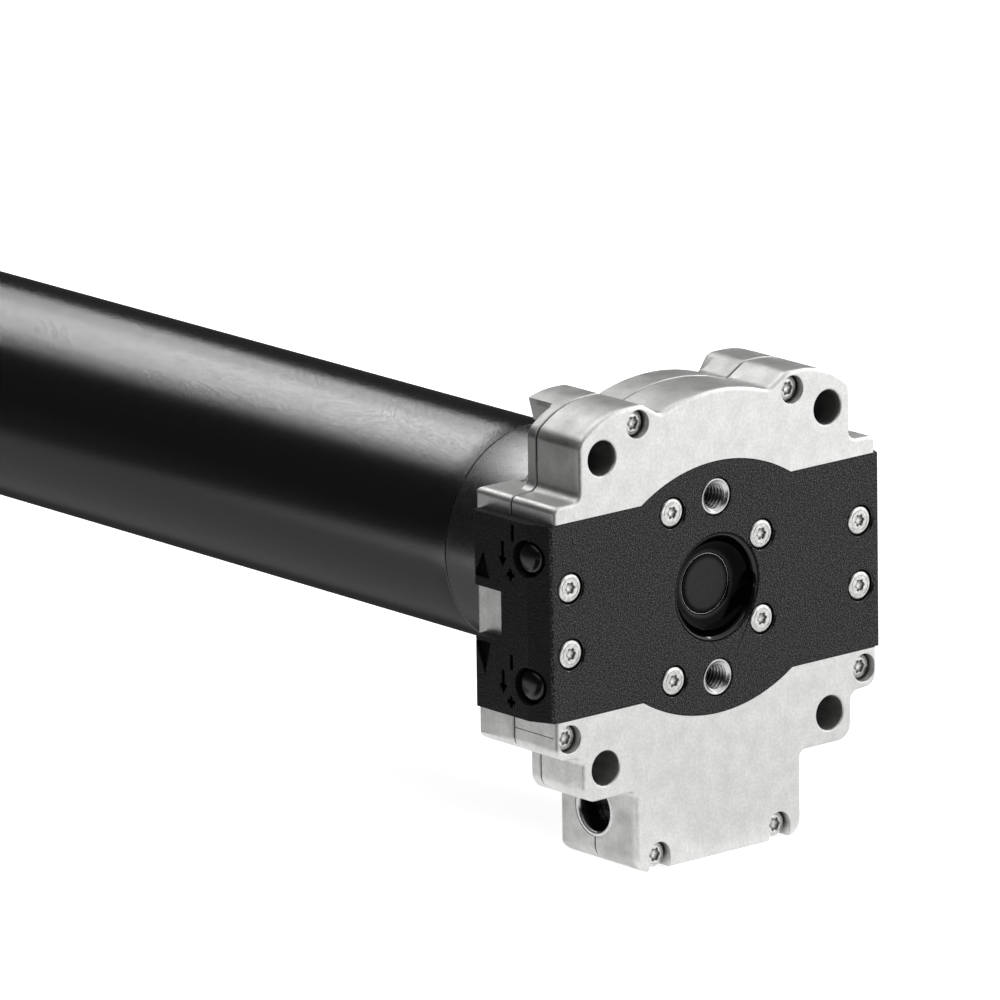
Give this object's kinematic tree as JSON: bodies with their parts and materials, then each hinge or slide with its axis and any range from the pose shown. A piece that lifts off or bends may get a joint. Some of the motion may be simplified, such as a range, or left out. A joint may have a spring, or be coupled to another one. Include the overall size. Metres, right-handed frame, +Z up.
{
  "type": "tubular roller blind motor",
  "caption": "Long tubular motor for roller blinds with a die-cast head, black cover, limit-setting screws, crank override, crown ring and keyless round output shaft.",
  "frame": {"origin": "centre of the head's mounting face, on the tube's axis", "axes": "+Y back along the tube, +X right seen from the mounting face, +Z up; the mounting face looks to -Y"},
  "size_m": [0.117, 0.5974, 0.1241],
  "materials": {
    "die_cast": "as-cast, slightly mottled",
    "cover_black": "fine-grained",
    "zinc_screws": "bright zinc",
    "steel": "machined",
    "bronze": "sintered",
    "brass": "turned",
    "gloss_black": "gloss",
    "dark_plastic": "moulded",
    "knob_black": "satin",
    "gear_plastic": "moulded",
    "cam_red": "moulded",
    "phenolic": "moulded",
    "crown_satin": "satin, turned",
    "hub_alloy": "turned",
    "tube_paint": "fine-textured powder coat",
    "can": "drawn",
    "laminations": "stacked sheet",
    "winding": "varnished wire",
    "friction": "friction lining"
  },
  "bodies": {
    "head": {"front_casing": "die_cast", "rear_casing": "die_cast", "front_cover": "cover_black", "cover_screws": "zinc_screws", "casing_screws": "zinc_screws", "threaded_inserts": "steel", "front_bush": "gloss_black", "crank_bush": "steel", "worm_end_bearing": "bronze", "hub_bearing": "bronze", "cam_pins": "steel", "limit_switches": "dark_plastic", "brush_block": "phenolic", "cable_inlet": "dark_plastic"},
    "tube_unit": {"drive_hub": "hub_alloy", "main_gear": "steel", "slip_ring_drum": "phenolic", "slip_rings": "brass", "motor_tube": "tube_paint", "capacitor": "can", "capacitor_cradle": "dark_plastic", "front_shield": "die_cast", "rear_shield": "die_cast", "motor_bearings": "steel", "stator_core": "laminations", "stator_winding": "winding", "brake_magnet": "dark_plastic", "gearbox_ring": "steel", "end_flange": "dark_plastic", "output_bearing": "bronze"},
    "lay_gears": {"lay_shaft": "steel", "worm_wheel": "bronze"},
    "crank_drive": {"crank_worm": "steel"},
    "crown": {"crown_ring": "crown_satin", "crown_gear": "gear_plastic"},
    "transfer": {"transfer_shaft": "steel", "transfer_gear": "gear_plastic"},
    "cam_up": {"cam_wheel_up": "cam_red"},
    "cam_down": {"cam_wheel_down": "cam_red"},
    "limit_up": {"limit_screw_up": "knob_black"},
    "limit_down": {"limit_screw_down": "knob_black"},
    "trim_up": {"trim_wheel_up": "gear_plastic"},
    "trim_down": {"trim_wheel_down": "gear_plastic"},
    "rotor": {"rotor_core": "laminations", "rotor_shaft": "steel", "brake_disc": "friction", "sun_gear_1": "steel"},
    "brake_plate": {"brake_armature": "steel"},
    "stage_1": {"carrier_1": "steel"},
    "stage_2": {"carrier_2": "steel"},
    "output": {"output_shaft": "steel"},
    "planet_1_a": {"planet_1_a": "bronze"},
    "planet_1_b": {"planet_1_b": "bronze"},
    "planet_1_c": {"planet_1_c": "bronze"},
    "planet_2_a": {"planet_2_a": "bronze"},
    "planet_2_b": {"planet_2_b": "bronze"},
    "planet_2_c": {"planet_2_c": "bronze"},
    "planet_3_a": {"planet_3_a": "bronze"},
    "planet_3_b": {"planet_3_b": "bronze"},
    "planet_3_c": {"planet_3_c": "bronze"}
  },
  "joints": [
    {"name": "tube_turn", "type": "hinge", "parent": "head", "child": "tube_unit", "pos_m": [0, 0.0736, 0], "axis": [0, 1, 0], "continuous": true},
    {"name": "lay_shaft_turn", "type": "hinge", "parent": "head", "child": "lay_gears", "pos_m": [0, 0.02, -0.039], "axis": [0, 1, 0], "continuous": true},
    {"name": "crank_turn", "type": "hinge", "parent": "head", "child": "crank_drive", "pos_m": [0, 0.017, -0.0573], "axis": [1, 0, 0], "continuous": true},
    {"name": "crown_turn", "type": "hinge", "parent": "head", "child": "crown", "pos_m": [0, 0.0313, 0], "axis": [0, 1, 0], "continuous": true},
    {"name": "transfer_turn", "type": "hinge", "parent": "head", "child": "transfer", "pos_m": [-0.03637, 0.02, 0], "axis": [0, 1, 0], "continuous": true},
    {"name": "cam_up_turn", "type": "hinge", "parent": "head", "child": "cam_up", "pos_m": [-0.02801, 0.01, 0.0086], "axis": [0, 1, 0], "continuous": true},
    {"name": "cam_down_turn", "type": "hinge", "parent": "head", "child": "cam_down", "pos_m": [-0.02801, 0.01, -0.0086], "axis": [0, 1, 0], "continuous": true},
    {"name": "limit_up_turn", "type": "hinge", "parent": "head", "child": "limit_up", "pos_m": [-0.05, 0.0069, 0.0168], "axis": [1, 0, 0], "continuous": true},
    {"name": "limit_down_turn", "type": "hinge", "parent": "head", "child": "limit_down", "pos_m": [-0.05, 0.0069, -0.0168], "axis": [1, 0, 0], "continuous": true},
    {"name": "trim_up_turn", "type": "hinge", "parent": "head", "child": "trim_up", "pos_m": [-0.02801, 0.0069, 0.0086], "axis": [0, 1, 0], "continuous": true},
    {"name": "trim_down_turn", "type": "hinge", "parent": "head", "child": "trim_down", "pos_m": [-0.02801, 0.0069, -0.0086], "axis": [0, 1, 0], "continuous": true},
    {"name": "rotor_turn", "type": "hinge", "parent": "tube_unit", "child": "rotor", "pos_m": [0, 0.2506, 0], "axis": [0, 1, 0], "continuous": true},
    {"name": "brake_release", "type": "slide", "parent": "tube_unit", "child": "brake_plate", "axis": [0, -1, 0], "range_m": [0, 0.0005], "stiffness_N_per_m": 2000, "springref_m": -0.002},
    {"name": "carrier_1_turn", "type": "hinge", "parent": "tube_unit", "child": "stage_1", "pos_m": [0, 0.4424, 0], "axis": [0, 1, 0], "continuous": true},
    {"name": "carrier_2_turn", "type": "hinge", "parent": "tube_unit", "child": "stage_2", "pos_m": [0, 0.4604, 0], "axis": [0, 1, 0], "continuous": true},
    {"name": "output_turn", "type": "hinge", "parent": "tube_unit", "child": "output", "pos_m": [0, 0.5874, 0], "axis": [0, 1, 0], "continuous": true},
    {"name": "planet_1_a_turn", "type": "hinge", "parent": "stage_1", "child": "planet_1_a", "pos_m": [0, 0.4424, 0.015], "axis": [0, 1, 0], "continuous": true},
    {"name": "planet_1_b_turn", "type": "hinge", "parent": "stage_1", "child": "planet_1_b", "pos_m": [-0.01299, 0.4424, -0.0075], "axis": [0, 1, 0], "continuous": true},
    {"name": "planet_1_c_turn", "type": "hinge", "parent": "stage_1", "child": "planet_1_c", "pos_m": [0.01299, 0.4424, -0.0075], "axis": [0, 1, 0], "continuous": true},
    {"name": "planet_2_a_turn", "type": "hinge", "parent": "stage_2", "child": "planet_2_a", "pos_m": [0, 0.4604, 0.015], "axis": [0, 1, 0], "continuous": true},
    {"name": "planet_2_b_turn", "type": "hinge", "parent": "stage_2", "child": "planet_2_b", "pos_m": [-0.01299, 0.4604, -0.0075], "axis": [0, 1, 0], "continuous": true},
    {"name": "planet_2_c_turn", "type": "hinge", "parent": "stage_2", "child": "planet_2_c", "pos_m": [0.01299, 0.4604, -0.0075], "axis": [0, 1, 0], "continuous": true},
    {"name": "planet_3_a_turn", "type": "hinge", "parent": "output", "child": "planet_3_a", "pos_m": [0, 0.4844, 0.015], "axis": [0, 1, 0], "continuous": true},
    {"name": "planet_3_b_turn", "type": "hinge", "parent": "output", "child": "planet_3_b", "pos_m": [-0.01299, 0.4844, -0.0075], "axis": [0, 1, 0], "continuous": true},
    {"name": "planet_3_c_turn", "type": "hinge", "parent": "output", "child": "planet_3_c", "pos_m": [0.01299, 0.4844, -0.0075], "axis": [0, 1, 0], "continuous": true}
  ],
  "couplings": [
    {"joint": "lay_shaft_turn", "follows": "tube_turn", "ratio": -3.3333},
    {"joint": "crank_turn", "follows": "tube_turn", "ratio": -83.333},
    {"joint": "transfer_turn", "follows": "crown_turn", "ratio": -2.5926},
    {"joint": "cam_up_turn", "follows": "crown_turn", "ratio": 1.5556},
    {"joint": "cam_down_turn", "follows": "crown_turn", "ratio": 1.5556},
    {"joint": "trim_up_turn", "follows": "limit_up_turn", "ratio": -0.0625},
    {"joint": "trim_down_turn", "follows": "limit_down_turn", "ratio": 0.0625},
    {"joint": "carrier_1_turn", "follows": "rotor_turn", "ratio": 0.2},
    {"joint": "carrier_2_turn", "follows": "rotor_turn", "ratio": 0.04},
    {"joint": "output_turn", "follows": "rotor_turn", "ratio": 0.008},
    {"joint": "planet_1_a_turn", "follows": "rotor_turn", "ratio": -0.53333},
    {"joint": "planet_1_b_turn", "follows": "rotor_turn", "ratio": -0.53333},
    {"joint": "planet_1_c_turn", "follows": "rotor_turn", "ratio": -0.53333},
    {"joint": "planet_2_a_turn", "follows": "rotor_turn", "ratio": -0.10667},
    {"joint": "planet_2_b_turn", "follows": "rotor_turn", "ratio": -0.10667},
    {"joint": "planet_2_c_turn", "follows": "rotor_turn", "ratio": -0.10667},
    {"joint": "planet_3_a_turn", "follows": "rotor_turn", "ratio": -0.021333},
    {"joint": "planet_3_b_turn", "follows": "rotor_turn", "ratio": -0.021333},
    {"joint": "planet_3_c_turn", "follows": "rotor_turn", "ratio": -0.021333}
  ]
}
